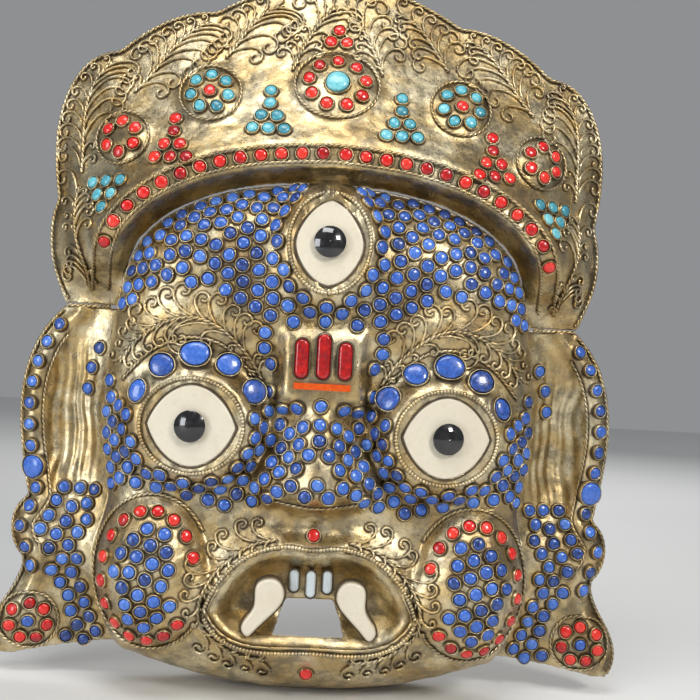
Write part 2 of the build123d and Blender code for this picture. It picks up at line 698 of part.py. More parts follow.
def side_eye(hand):
    turn = math.radians(SIDE_EYE_TURN)
    normal = Vector(hand * math.sin(turn), -math.cos(turn), 0)
    at = Vector(hand * SIDE_EYE[0], -SIDE_EYE_HEIGHT, SIDE_EYE[1]) + normal * SEAT_LIFT
    bottom = [(-x, -z) for x, z in SIDE_EYE_TOP]
    plane = Plane(at, x_dir=(math.cos(turn), hand * math.sin(turn), 0), z_dir=normal)
    return eye(plane, [SIDE_EYE_TOP, bottom], SIDE_EYE_SIZE)


def brow_eye():
    lean = math.radians(BROW_EYE_LEAN)
    normal = Vector(0, -math.cos(lean), math.sin(lean))
    at = Vector(0, -BROW_EYE_HEIGHT, BROW_EYE[1]) + normal * SEAT_LIFT
    return eye(Plane(at, x_dir=(1, 0, 0), z_dir=normal), whole([BROW_EYE_HALF]), BROW_EYE_SIZE)


def coral_bars():
    """The three upright coral bars, their collets, and the flat coral plate under them."""
    bars, strips = [], []
    for i, length in enumerate(BAR_LENGTHS):
        plane = flat_plane((i - 1) * BAR_STEP, BARS[1] + length / 2 - 4.0, BARS_HEIGHT + SEAT_LIFT)
        bar = extrude(SlotOverall(length, BAR_WIDTH, rotation=90), 1.9)
        bars.append(plane * eroded(bar, 1.2))
        strips.append(plane * slot_strip(length, BAR_WIDTH, 0.1, 0.45, COLLET_HEIGHT))
    under = flat_plane(0, BARS[1] - 6.4, BARS_HEIGHT + SEAT_LIFT)
    return bars, strips, under * extrude(Rectangle(18.5, 2.1), 1.6).solid()


def fang():
    """The right fang and the strip round it, standing on the mouth plate."""
    tooth = Spline(*FANG, periodic=True)
    base = max(height(mouth_relief, FANG_PLACE[0] + x, FANG_PLACE[1] + z) for x, z in FANG)
    plane = flat_plane(*FANG_PLACE, base + SEAT_LIFT)
    chain = np.array([(at.X, at.Y) for at in [tooth @ (i / 20) for i in range(20)]])
    step = np.roll(chain, -1, axis=0) - np.roll(chain, 1, axis=0)
    out = np.stack([-step[:, 1], step[:, 0]], 1) / np.linalg.norm(step, axis=1)[:, None]
    rings = [Wire(Spline(*[tuple(at) for at in chain + out * gap], periodic=True)) for gap in (0.75, 0.2)]
    return plane * eroded(extrude(make_face(tooth), FANG_THICK), 0.9), plane * strip_between(*rings, 2.0)


def front_teeth():
    """The three small upper teeth between the fangs, and the strips round them."""
    teeth, strips = [], []
    for i, length in enumerate(TOOTH_LENGTHS):
        x, z = (i - 1) * TOOTH_STEP, TOOTH_TOP - length / 2
        base = max(height(mouth_relief, x, z + side * length / 2) for side in (-1, 0, 1))
        tooth = extrude(SlotOverall(length, TOOTH_WIDTH, rotation=90), 2.2)
        plane = flat_plane(x, z, base + SEAT_LIFT)
        teeth.append(plane * eroded(tooth, 0.9))
        strips.append(plane * slot_strip(length, TOOTH_WIDTH, 0.15, 0.4, 1.4))
    return teeth, strips


# ---------------------------------------------------------------- the hanger
def hanging_loop():
    """A half ring of wire on top of the face's edge, close to the wall and behind the crown."""
    foot = HANGER_FOOT_Z + PAD[2] + FOOT_GAP
    plane = Plane((0, -HANGER_HEIGHT, foot), x_dir=(1, 0, 0), z_dir=(0, -1, 0))
    path = plane * ThreePointArc((-HANGER_RADIUS, 0), (0, HANGER_RADIUS), (HANGER_RADIUS, 0))
    return sweep(Plane(path @ 0, z_dir=path % 0) * Circle(HANGER_WIRE), path=path).solid()


def loop_pads():
    """The two brass pads that the ring's ends are soldered to."""
    pad = Pos(HANGER_RADIUS, -HANGER_HEIGHT, HANGER_FOOT_Z + PAD[2] / 2) * Box(*PAD)
    return reflected([pad.solid()])


# ---------------------------------------------------------------- the nodes
def save(name, solids):
    """Writes one node: a solid, or a group of separate solids."""
    solids = solids if isinstance(solids, list) else [solids]
    shape = solids[0] if len(solids) == 1 else Compound(solids)
    export_step(shape, f"parts/{name}.step")
    print(name, len(solids), flush=True)


def save_sheets():
    save("face_shell", face_shell())
    save("crown_sheet", crown_sheet())
    ear = ear_sheet()
    save("right_ear_sheet", ear)
    save("left_ear_sheet", ear.mirror(Plane.YZ))
    save("mouth_plate", mouth_plate())


def save_eyes_and_teeth():
    for name, parts in (("left", side_eye(-1)), ("right", side_eye(1)), ("brow", brow_eye())):
        for piece, solid in zip(("eye_white", "eye_pupil", "eye_bezel"), parts):
            save(f"{name}_{piece}", solid)
    bars, strips, under = coral_bars()
    save("brow_coral_bars", bars)
    save("brow_bar_collets", strips)
    save("brow_coral_plate", under)
    tooth, strip = fang()
    save("right_fang", tooth)
    save("left_fang", tooth.mirror(Plane.YZ))
    save("fang_bezels", reflected([strip]))
    teeth, strips = front_teeth()
    save("front_teeth", teeth)
    save("tooth_bezels", strips)


def save_face_stones():
    forehead, midface = lapis_field()
    for name, places in (("forehead", forehead), ("midface", midface)):
        stones, rings = settings(face_relief, places)
        save(f"{name}_lapis", stones)
        save(f"{name}_collets", rings)
    corals, lapis = cheek_places()
    for name, hand in (("left", -1), ("right", 1)):
        stones, rings = settings(face_relief, [(hand * x, z) for x, z in lapis])
        red, red_rings = settings(face_relief, [(hand * x, z) for x, z in corals])
        save(f"{name}_cheek_lapis", stones)
        save(f"{name}_cheek_coral", red)
        save(f"{name}_cheek_collets", rings + red_rings)
    lids, rings = [], []
    for x, z, rx, ry in LID_STONES:
        stone, ring = settings(face_relief, [(x, z)], (oval_stone(ry, rx), collet(ry, rx)), 0.8 * rx)
        lids += stone
        rings += ring
    save("lid_lapis", reflected(lids))
    save("lid_collets", reflected(rings))
    stones, rings = settings(face_relief, LIP_CORALS)
    save("lip_corals", stones)
    save("lip_collets", rings)


def save_ear_stones():
    line, big = ear_rim_places()
    big_stones, big_rings = settings(ear_relief, big, BIG, 0.7 * BIG_RADIUS)
    stones, rings = settings(ear_relief, line + ear_inner_places() + [LOBE])
    corals, coral_rings = settings(ear_relief, ring_places(LOBE, (6.3, 6.3), 7))
    save("ear_lapis", reflected(stones + big_stones))
    save("ear_lobe_coral", reflected(corals))
    save("ear_collets", reflected(rings + big_rings + coral_rings))


def save_crown_stones():
    stones, rings = settings(crown_relief, both_sides(band_places()))
    save("crown_band_coral", stones)
    save("crown_band_collets", rings)
    corals = ring_places(ROUNDELS[0], (9.7, 8.4), 9) + TOP_CORALS
    corals += both_sides(ROUNDELS[1:2] + ring_places(ROUNDELS[2], (5.5, 5.5), 6))
    corals += both_sides(pyramid(CORAL_PYRAMID, (1, 1, 2, 3), -0.9 * PITCH))
    turquoise = both_sides(ring_places(ROUNDELS[1], (6.35, 6.35), 7))
    turquoise += both_sides(pyramid(TURQUOISE_PYRAMID, (1, 1, 2, 3), -0.9 * PITCH))
    turquoise += both_sides(pyramid(TURQUOISE_POINT, (1, 2, 3), 0.9 * PITCH))
    red, red_rings = settings(crown_relief, corals)
    blue, blue_rings = settings(crown_relief, turquoise)
    big, big_ring = settings(crown_relief, ROUNDELS[:1], BIG, 0.7 * BIG_RADIUS)
    save("crown_coral", red)
    save("crown_turquoise", blue + big)
    save("crown_collets", red_rings + blue_rings + big_ring)


def save_wires():
    save("crown_band_ropes", band_ropes())
    save("crown_roundel_ropes", roundel_ropes())
    edge = offset_chain(sampled(CROWN_HALF), -1.4, low=22)[4:]
    save("crown_edge_wires", reflected([border(crown_relief, edge, 64)]))
    save("eye_ropes", eye_ropes())
    save("seam_wires", seam_wires())
    save("cheek_ropes", reflected([cheek_rope()]))
    save("mouth_ropes", mouth_ropes())
    save("ear_ropes", ear_ropes())


def save_filigree():
    leaves = []
    for spine, longest in LEAVES:
        leaves += leaf(crown_relief, spine, longest)
    save("crown_scrollwork", reflected(leaves))
    brow = leaf(face_relief, BROW_SPINE, 9.0)
    save("right_brow_scrollwork", brow)
    save("left_brow_scrollwork", [solid.mirror(Plane.YZ) for solid in brow])
    save("muzzle_scrollwork", reflected(leaf(face_relief, MUZZLE_SPINE, 6.5, sides=(-1,))))


if __name__ == "__main__":
    os.makedirs("parts", exist_ok=True)
    save_sheets()
    save_eyes_and_teeth()
    save_face_stones()
    save_ear_stones()
    save_crown_stones()
    save_wires()
    save_filigree()
    save("loop_pads", loop_pads())
    save("hanging_loop", hanging_loop())
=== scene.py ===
import math
from collections import namedtuple

import bmesh
import bpy
import numpy as np
from mathutils import Matrix, Vector, noise
from mathutils.bvhtree import BVHTree
from mathutils.kdtree import KDTree


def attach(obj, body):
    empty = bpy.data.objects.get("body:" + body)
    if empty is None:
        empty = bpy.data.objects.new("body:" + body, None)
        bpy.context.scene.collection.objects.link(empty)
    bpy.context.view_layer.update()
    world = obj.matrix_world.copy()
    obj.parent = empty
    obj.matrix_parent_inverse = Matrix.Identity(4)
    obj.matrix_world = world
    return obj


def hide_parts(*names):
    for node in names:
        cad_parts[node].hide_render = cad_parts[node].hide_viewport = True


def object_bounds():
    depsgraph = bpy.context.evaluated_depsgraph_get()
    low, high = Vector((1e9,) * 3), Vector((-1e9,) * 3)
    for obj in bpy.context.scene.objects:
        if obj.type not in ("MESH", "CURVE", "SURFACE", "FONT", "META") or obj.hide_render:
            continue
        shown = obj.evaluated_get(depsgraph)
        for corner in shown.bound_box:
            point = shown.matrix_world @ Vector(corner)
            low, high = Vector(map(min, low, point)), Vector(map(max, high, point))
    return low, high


# The finish of a stone-set gilt wall mask: hand-cut cabochons in bent collets, twisted and
# beaded border wires, scrolled filigree, and worked sheet with patina and painted shade in its hollows.
# Their places are read from the CAD frame, in metres, with +Z up and the face towards -Y.
# Only the lids' and the nose's thin border wires have lines of their own.

MM = 0.001

# ---------------------------------------------------------------- stones and collets
SMALL_STONE = 2.5 * MM  # stones of a smaller radius are rougher, and have fewer corners
SMALL_CORNERS, LARGE_CORNERS = 20, 36
STONE_FIT = 0.95  # a cut stone's radius, as a share of its CAD stone's
STONE_PROFILE = [  # share of the radius, and of the height above the collet's foot
    (0.90, 0.0),
    (1.0, 0.12),
    (1.0, 0.56),
    (0.95, 0.70),
    (0.84, 0.82),
    (0.66, 0.91),
    (0.42, 0.97),
    (0.16, 1.0),
]
COLLET_GAP, COLLET_WALL = 0.05 * MM, 0.32 * MM
COLLET_TALL, COLLET_SUNK = 1.30 * MM, 0.9 * MM
FACING = {"lid_lapis": 0.55, "lip_corals": 0.6}  # how far stones are turned to the front
USUAL_FACING = 0.3

# ---------------------------------------------------------------- wires
TWIST_PITCH, BEAD_PITCH = 1.9 * MM, 1.15 * MM
ROPES = {  # the style of each node's wires, and their radius
    "crown_band_ropes": ("twisted", 0.62 * MM),
    "crown_roundel_ropes": ("twisted", 0.55 * MM),
    "crown_edge_wires": ("twisted", 0.6 * MM),
    "eye_ropes": ("beaded", 0.72 * MM),
    "cheek_ropes": ("twisted", 0.6 * MM),
    "mouth_ropes": ("beaded", 0.8 * MM),
    "ear_ropes": ("twisted", 0.58 * MM),
    "seam_wires": ("twisted", 0.6 * MM),
}
ROPE_SIDES, FLAT_WIRE_SIDES = 14, 8
STEPS_PER_PITCH = 7
BORDER_BENDS, SPINE_BENDS = 4, 6  # the fewest bends of a border wire, and of a leaf's spine, in the CAD
LID_ARCH = [(66, -4), (58, 4.8), (50, 9.6), (41.8, 11.2), (33, 9), (25.5, 2.4), (19.5, -3)]  # x, z in mm
NOSE_FOOT = [(-13.8, -40.4), (-7, -41.6), (0, -42.2), (7, -41.6), (13.8, -40.4)]
SMALL_BORDER, BORDER_LIFT = 0.55 * MM, 0.3 * MM

# ---------------------------------------------------------------- filigree
CURL_ARCS = [(0.90, 36), (0.34, 62), (0.21, 100), (0.125, 135), (0.08, 60)]  # radius per length, turn
CURL_WIDE, CURL_TALL, CURL_LEAN = 0.85 * MM, 1.3 * MM, 44.0
SHORTEST_CURL = 3.0 * MM
CURL_TRIES = (1.0, 0.75, 0.55)  # a curl that would run off the sheet is tried again this much shorter
LARGEST_STEP = 1.6 * MM  # a curl doesn't climb more than this from one point to the next
SPINE_RADIUS = 0.62 * MM
Leaf = namedtuple("Leaf", "longest spacings root")  # spacings of the curls to its left and right
LEAVES = {  # root is the way, across and up, from the end where the spine starts
    "crown_scrollwork": Leaf(18 * MM, (4.6 * MM, 4.6 * MM), (0, 1)),
    "left_brow_scrollwork": Leaf(18 * MM, (5.6 * MM, 4.2 * MM), (1, 0)),
    "right_brow_scrollwork": Leaf(18 * MM, (4.2 * MM, 5.6 * MM), (1, 0)),
    "muzzle_scrollwork": Leaf(13 * MM, (4.6 * MM, 4.6 * MM), (0, -1)),
}

# ---------------------------------------------------------------- sheets
SHEETS = ("face_shell", "crown_sheet", "left_ear_sheet", "right_ear_sheet", "mouth_plate")
VOXEL = 0.6 * MM
HAMMER_DEPTH, HAMMER_SIZE = 0.22 * MM, 5.0 * MM
RIM_FADE = 3.0 * MM  # the hammering dies out this close to the wall and to the lowest edge
EYE_THICK, EYE_SUNK = 3.0 * MM, 0.6 * MM  # the sheet is beaten in this far behind the eye whites
FRONT_SLOPE = 0.3  # the sheets' normals have a smaller y than this on their front and edges
STONE_SHADE_AND_PATINA, WIRE_SHADE_AND_PATINA = (0.4 * MM, 1.3 * MM), (0.5 * MM, 1.5 * MM)  # where the patina and painted shade start to thin, and their reach
# sheet faces that do not look to the front get this even share of bare, lit metal against patina and painted
# shade
BACK_BARE_LIT = 0.45
EAR_HOLLOW, EAR_HOLLOW_SIZE = (0.087, -0.020), (0.009, 0.026)
RIPPLE_DEPTH, RIPPLE_STEP = 0.30 * MM, 3.6 * MM

# ---------------------------------------------------------------- camera
LENS, SENSOR = 58.9, 36.0
CAMERA_AT = (-0.0081, -0.4191, 0.0109)
YAW, PITCH, ROLL = -0.04429, 0.00334, 0.05451

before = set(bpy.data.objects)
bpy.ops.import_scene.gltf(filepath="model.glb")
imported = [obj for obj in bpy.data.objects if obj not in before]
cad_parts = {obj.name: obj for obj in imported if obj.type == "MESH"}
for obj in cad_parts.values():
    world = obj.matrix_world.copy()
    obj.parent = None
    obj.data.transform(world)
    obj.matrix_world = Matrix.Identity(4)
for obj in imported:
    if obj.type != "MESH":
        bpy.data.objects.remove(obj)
cad_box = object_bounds()
Seat = namedtuple("Seat", "centre axis along side radii tall")
# a grid's second value is how bare and lit its metal is; low values are painted darker with patina and painted
# shade
Grid = namedtuple("Grid", "points crest tone closed")


# ---------------------------------------------------------------- reading the CAD frame
def welded(node):
    """A node's vertices without doubles, and its triangles."""
    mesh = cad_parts[node].data
    mesh.calc_loop_triangles()
    points = np.empty(3 * len(mesh.vertices))
    mesh.vertices.foreach_get("co", points)
    corners = np.empty(3 * len(mesh.loop_triangles), dtype=np.int64)
    mesh.loop_triangles.foreach_get("vertices", corners)
    points = points.reshape(-1, 3)
    keys = np.round(points * 1e6).astype(np.int64)
    _, first, index = np.unique(keys, axis=0, return_index=True, return_inverse=True)
    return points[first], index.reshape(-1)[corners].reshape(-1, 3)


def grouped(count, links):
    """A label for each vertex, the same for vertices that the links join."""
    label = np.arange(count)
    while True:
        low = label[links].min(axis=1)
        joined = label.copy()
        np.minimum.at(joined, links.ravel(), np.repeat(low, links.shape[1]))
        joined = joined[joined]
        if (joined == label).all():
            return label
        label = joined


def solids(node):
    """The vertices and triangles of each separate solid in a node."""
    points, triangles = welded(node)
    label = grouped(len(points), triangles)
    for value in np.unique(label):
        members = np.flatnonzero(label == value)
        own = triangles[label[triangles[:, 0]] == value]
        yield points[members], np.searchsorted(members, own)


def seat_of(points, triangles):
    """Where a stone stands: its flat foot's centre, the way it faces, and its size."""
    a, b, c = (points[triangles[:, i]] for i in range(3))
    area = np.cross(b - a, c - a)
    size = np.linalg.norm(area, axis=1)
    keep = size > 1e-13
    facing = area[keep] / size[keep, None]
    faces, index = np.unique(np.round(facing, 2), axis=0, return_inverse=True)
    total = np.bincount(index.reshape(-1), size[keep])
    axis = -facing[index.reshape(-1) == total.argmax()].mean(axis=0)
    axis /= np.linalg.norm(axis)
    level = points @ axis
    foot = points[level < level.min() + 0.02 * MM]
    middle = foot.mean(axis=0)
    spread = foot - middle
    along = np.linalg.eigh(spread.T @ spread)[1][:, -1]
    along = along - axis * (along @ axis)
    along /= np.linalg.norm(along)
    side = np.cross(axis, along)
    reach = [(foot @ way).min() + (foot @ way).max() for way in (along, side)]
    radii = [((foot @ way).max() - (foot @ way).min()) / 2 for way in (along, side)]
    centre = along * reach[0] / 2 + side * reach[1] / 2 + axis * level.min()
    return Seat(centre, axis, along, side, radii, level.max() - level.min())


def squared(axis, along):
    """Three unit directions at right angles, from an axis and a rough way along."""
    axis = axis / np.linalg.norm(axis)
    along = along - axis * (along @ axis)
    along /= np.linalg.norm(along)
    return axis, along, np.cross(axis, along)


def turned(seat, share):
    """The seat turned towards the front, as hand-set stones are pressed."""
    axis, along, side = squared(seat.axis * (1 - share) + np.array([0, -1, 0]) * share, seat.along)
    return seat._replace(axis=axis, along=along, side=side)


def seats(node):
    """Where the stones of a node stand."""
    share = FACING.get(node, USUAL_FACING)
    return [turned(seat_of(*solid), share) for solid in solids(node)]


def centrelines(node, fewest):
    """The bends of each wire in a node that has at least so many, in order, from the rings round them."""
    points, triangles = welded(node)
    edges = np.concatenate([triangles[:, [0, 1]], triangles[:, [1, 2]], triangles[:, [2, 0]]])
    length = np.linalg.norm(points[edges[:, 0]] - points[edges[:, 1]], axis=1)
    ring = grouped(len(points), edges[length < 1.5 * MM])
    wire = grouped(len(points), triangles)
    lines = []
    for value in np.unique(wire):
        near = {}
        for a, b in ring[edges[(length >= 1.5 * MM) & (wire[edges[:, 0]] == value)]]:
            if a != b:
                near.setdefault(a, set()).add(b)
                near.setdefault(b, set()).add(a)
        ends = [at for at in near if len(near[at]) == 1]
        if len(near) < fewest or len(ends) != 2:
            continue
        walk = [ends[0]]
        while len(walk) < len(near):
            walk.append(next(at for at in near[walk[-1]] if at not in walk[-2:]))
        lines.append(np.array([points[ring == at].mean(axis=0) for at in walk]))
    return lines


def surface_tree(nodes):
    """A tree of all the triangles of some nodes."""
    vertices, faces = [], []
    for node in nodes:
        points, triangles = welded(node)
        faces += (triangles + len(vertices)).tolist()
        vertices += points.tolist()
    return BVHTree.FromPolygons(vertices, faces)


TREE = surface_tree(SHEETS)
EYE_TREE = surface_tree(["left_eye_white", "right_eye_white", "brow_eye_white"])


def laid(x, z, tree=TREE):
    """The sheets' or another tree's front at a place, as a point and the way out of it, or None."""
    at, normal, _, _ = tree.ray_cast(Vector((x, -0.2, z)), Vector((0, 1, 0)))
    if at is None:
        return None
    return np.array(at), np.array(normal if normal.y < 0 else -normal)


# ---------------------------------------------------------------- meshes from grids
def grid_faces(grid, start):
    rows, columns = grid.points.shape[:2]
    index = start + np.arange(rows * columns).reshape(rows, columns)
    lower = index if grid.closed else index[:-1]
    upper = np.roll(index, -1, axis=0) if grid.closed else index[1:]
    quads = np.stack([lower, np.roll(lower, -1, 1), np.roll(upper, -1, 1), upper], -1)
    faces = quads.reshape(-1, 4).tolist()
    if not grid.closed:
        faces += [index[0][::-1].tolist(), index[-1].tolist()]
    return faces


def set_values(mesh, name, values):
    layer = mesh.attributes.new(name, "FLOAT", "POINT")
    layer.data.foreach_set("value", np.asarray(values, dtype=np.float32))


def place(obj, material, nodes=()):
    """Puts a finished object in the scene, on the part's one body."""
    obj.data.materials.clear()
    obj.data.materials.append(material)
    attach(obj, "root")
    if nodes:
        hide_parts(*nodes)
    return obj


def piece(name, grids, material, slot, nodes=()):
    """One object from many grids, each a closed form of its own."""
    faces, start = [], 0
    for grid in grids:
        faces += grid_faces(grid, start)
        start += grid.points.shape[0] * grid.points.shape[1]
    mesh = bpy.data.meshes.new(name)
    mesh.from_pydata(np.concatenate([grid.points.reshape(-1, 3) for grid in grids]), [], faces)
    for value in ("crest", "tone"):
        spread = [np.broadcast_to(getattr(grid, value), grid.points.shape[:2]).ravel() for grid in grids]
        set_values(mesh, value, np.concatenate(spread))
    form = bmesh.new()
    form.from_mesh(mesh)
    bmesh.ops.recalc_face_normals(form, faces=form.faces)
    form.to_mesh(mesh)
    form.free()
    mesh.shade_smooth()
    obj = bpy.data.objects.new(name, mesh)
    bpy.context.scene.collection.objects.link(obj)
    return place(obj, material, nodes)


# ---------------------------------------------------------------- settings
def outline_of(seat, rng, around):
    """A hand-cut outline: nearly the seat's ellipse, as offsets along and across it."""
    turn = np.linspace(0, 2 * math.pi, around, endpoint=False)
    small = seat.radii[0] < SMALL_STONE
    squash = rng.uniform(0.0, 0.10 if small else 0.04)
    uneven = 1 - squash * (0.5 + 0.5 * np.cos(2 * (turn - rng.uniform(0, math.pi))))
    uneven -= rng.uniform(0, 0.03) * np.cos(3 * (turn - rng.uniform(0, 6)))
    return np.stack([seat.radii[0] * np.cos(turn) * uneven, seat.radii[1] * np.sin(turn) * uneven], 1)


def tilted(seat, rng):
    """The seat's axes for one stone, leaning a little."""
    lean = rng.normal(0, 0.05, 2)
    return squared(seat.axis + seat.along * lean[0] + seat.side * lean[1], seat.along)


def stone_grid(seat, outline, rng):
    """A domed stone of an outline, a little uneven in size."""
    axis, along, side = tilted(seat, rng)
    flat = outline * STONE_FIT * rng.uniform(0.94, 1.02)
    tall = seat.tall * rng.uniform(0.84, 1.0)
    rows = []
    for share, rise in STONE_PROFILE:
        at = flat * share
        rows.append(seat.centre + along * at[:, :1] + side * at[:, 1:] + axis * tall * rise)
    return Grid(np.array(rows), 1.0, rng.uniform(0, 1), False)


def collet_grid(seat, outline, rng):
    """A strip bent round a stone, standing on the sheet, with a worn and uneven lip."""
    length = np.linalg.norm(outline, axis=1)[:, None]
    away = outline / length
    turn = np.linspace(0, 2 * math.pi, len(outline), endpoint=False)
    wear = 0.06 * np.cos(turn - rng.uniform(0, 6))
    lip = COLLET_TALL * (1 + wear + 0.03 * np.cos(3 * turn + rng.uniform(0, 6)))
    wall = COLLET_WALL * rng.uniform(0.85, 1.15)
    # the last number of each step darkens the collet towards its foot, where it meets the sheet: painted shade,
    # with patina; its lip stays bare gold
    section = [
        (0.0, -COLLET_SUNK, 0.0, 0.0),
        (0.02 * MM, 0.0, 0.86, 0.45),
        (0.3 * wall, 0.0, 1.0, 1.0),
        (0.75 * wall, 0.0, 0.99, 1.0),
        (wall, 0.0, 0.86, 0.75),
        (wall + 0.08 * MM, -COLLET_SUNK, 0.0, 0.0),
    ]
    columns, crest = [], []
    for out, sunk, rise, lip_bare_lit in section:
        at = outline + away * (COLLET_GAP + out)
        level = (sunk + lip * rise)[:, None]
        columns.append(seat.centre + seat.along * at[:, :1] + seat.side * at[:, 1:] + seat.axis * level)
        crest.append(lip_bare_lit)
    return Grid(np.stack(columns, 1), np.array(crest)[None], rng.uniform(0, 1), True)


SETTINGS = [  # collets, and the stones that stand in them
    ("forehead_collets", ["forehead_lapis"]),
    ("midface_collets", ["midface_lapis"]),
    ("left_cheek_collets", ["left_cheek_lapis", "left_cheek_coral"]),
    ("right_cheek_collets", ["right_cheek_lapis", "right_cheek_coral"]),
    ("lid_collets", ["lid_lapis"]),
    ("lip_collets", ["lip_corals"]),
    ("ear_collets", ["ear_lapis", "ear_lobe_coral"]),
    ("crown_band_collets", ["crown_band_coral"]),
    ("crown_collets", ["crown_coral", "crown_turquoise"]),
]


def kind_of(node):
    if "lapis" in node:
        return "lapis"
    return "turquoise" if "turquoise" in node else "coral"


def set_stones(materials):
    """Every cabochon and its collet. Returns the seats of all the stones."""
    every = []
    for number, (collets, nodes) in enumerate(SETTINGS):
        rng = np.random.default_rng(100 + number)
        rings = []
        for node in nodes:
            stones = []
            for seat in seats(node):
                corners = SMALL_CORNERS if seat.radii[0] < SMALL_STONE else LARGE_CORNERS
                outline = outline_of(seat, rng, corners)
                stones.append(stone_grid(seat, outline, rng))
                rings.append(collet_grid(seat, outline, rng))
                every.append(seat)
            piece(f"{node}_cut", stones, materials[kind_of(node)], kind_of(node), [node])
        piece(f"{collets}_bent", rings, materials["wire"], "gilt_brass", [collets])
    return every


# ---------------------------------------------------------------- wires
def smoothed(points, step, closed=False):
    """Points every step along a smooth line through the given ones."""
    if closed:
        points = np.concatenate([points[-2:-1], points[:-1], points[:2]])
    else:
        points = np.concatenate([[2 * points[0] - points[1]], points, [2 * points[-1] - points[-2]]])
    rows = []
    for a, b, c, d in zip(points, points[1:], points[2:], points[3:]):
        count = max(2, round(np.linalg.norm(c - b) / step))
        t = np.linspace(0, 1, count, endpoint=False)[:, None]
        rows.append(b + 0.5 * t * (c - a + t * (2 * a - 5 * b + 4 * c - d + t * (3 * (b - c) + d - a))))
    if not closed:
        rows.append(points[-2:-1])
    return np.concatenate(rows)


def axes_along(path, out, closed=False):
    """The side and top directions at each point of a wire."""
    if closed:
        ahead = np.roll(path, -1, axis=0) - np.roll(path, 1, axis=0)
    else:
        ahead = np.gradient(path, axis=0)
    ahead /= np.linalg.norm(ahead, axis=1)[:, None]
    side = np.cross(ahead, out)
    side /= np.linalg.norm(side, axis=1)[:, None]
    return side, np.cross(side, ahead)


def run_along(path):
    """How far along a path each of its points is."""
    steps = np.linalg.norm(np.diff(path, axis=0), axis=1)
    return np.concatenate([[0], np.cumsum(steps)])


def rope_grid(path, out, radius, style, closed=False, tone=0.5):
    """Two strands twisted together, or a wire of beads."""
    run = run_along(path)[:, None]
    turn = np.linspace(0, 2 * math.pi, ROPE_SIDES, endpoint=False)[None]
    if style == "twisted":
        swell = 0.66 + 0.34 * np.abs(np.cos(turn - math.pi * run / TWIST_PITCH))
    else:
        swell = 0.70 + 0.30 * np.abs(np.sin(math.pi * run / BEAD_PITCH)) + 0 * turn
    side, top = axes_along(path, out, closed)
    across = (radius * swell * np.cos(turn))[..., None] * side[:, None]
    up = (radius * swell * np.sin(turn))[..., None] * top[:, None]
    # the strands' tops stay bare gold; the grooves between them and the wire's underside are painted darker:
    # painted shade, with patina in the grooves
    crest = np.clip((swell - 0.66) / 0.34, 0, 1) * np.clip(0.6 + 0.7 * np.sin(turn), 0, 1)
    return Grid(path[:, None] + across + up, crest, tone, closed)


def outward(path):
    """The sheet's way out at each point of a path."""
    ways = []
    for x, _, z in path[::8]:
        hit = laid(x, z)
        ways.append(hit[1] if hit is not None else np.array([0, -1, 0]))
    index = np.arange(len(path)) / 8
    known = np.arange(len(ways))
    out = np.stack([np.interp(index, known, [way[i] for way in ways]) for i in range(3)], 1)
    return out / np.linalg.norm(out, axis=1)[:, None]


def lay_ropes(materials):
    """The border wires. Returns points along them all."""
    every = []
    for node, (style, radius) in ROPES.items():
        grids = []
        for line in centrelines(node, BORDER_BENDS):
            closed = np.linalg.norm(line[0] - line[-1]) < 2.5 * MM
            step = (TWIST_PITCH if style == "twisted" else BEAD_PITCH) / STEPS_PER_PITCH
            path = smoothed(line, step, closed)
            grids.append(rope_grid(path, outward(path), radius, style, closed))
            every += path[::4].tolist()
        piece(f"{node}_worked", grids, materials["wire"], "gilt_brass", [node])
    return every + lay_small_borders(materials)


def lay_small_borders(materials):
    """The thin wires over the lids' stones and under the nose, which the CAD leaves out."""
    grids, every = [], []
    for line in (LID_ARCH, [(-x, z) for x, z in LID_ARCH], NOSE_FOOT):
        hits = [laid(x * MM, z * MM) for x, z in line]
        lifted = np.array([at + out * BORDER_LIFT for at, out in hits])
        path = smoothed(lifted, TWIST_PITCH / STEPS_PER_PITCH)
        path = np.array([laid(x, z)[0] for x, _, z in path])
        out = outward(path)
        grids.append(rope_grid(path + out * BORDER_LIFT, out, SMALL_BORDER, "twisted"))
        every += path[::4].tolist()
    piece("small_borders", grids, materials["wire"], "gilt_brass")
    return every


# ---------------------------------------------------------------- filigree
def curl_shape(hand):
    """A comma-shaped curl of length 1 from its root, with its tip rolled up."""
    heading, at = hand * math.radians(28), np.zeros(2)
    rows = [at]
    for radius, turn in CURL_ARCS:
        count = max(3, round(turn / 14))
        for _ in range(count):
            bend = math.radians(turn) / count
            heading -= hand * bend / 2
            at = at + 2 * radius * math.sin(bend / 2) * np.array([math.cos(heading), math.sin(heading)])
            heading -= hand * bend / 2
            rows.append(at)
    return np.array(rows)


CURLS = {hand: curl_shape(hand) for hand in (-1, 1)}


def flat_wire(path, out, wide, tall, tone):
    """A flat wire on edge, with a rounded top."""
    turn = np.linspace(0, 2 * math.pi, FLAT_WIRE_SIDES, endpoint=False)[None]
    side, top = axes_along(path, out)
    across = (wide / 2 * np.cos(turn))[..., None] * side[:, None]
    up = (tall * (0.5 + 0.5 * np.sin(turn)) - 0.2 * MM)[..., None] * top[:, None]
    # the flat wire's top stays bare gold and its underside is painted darker: painted shade
    return Grid(path[:, None] + across + up, 0.5 + 0.5 * np.sin(turn), tone, False)


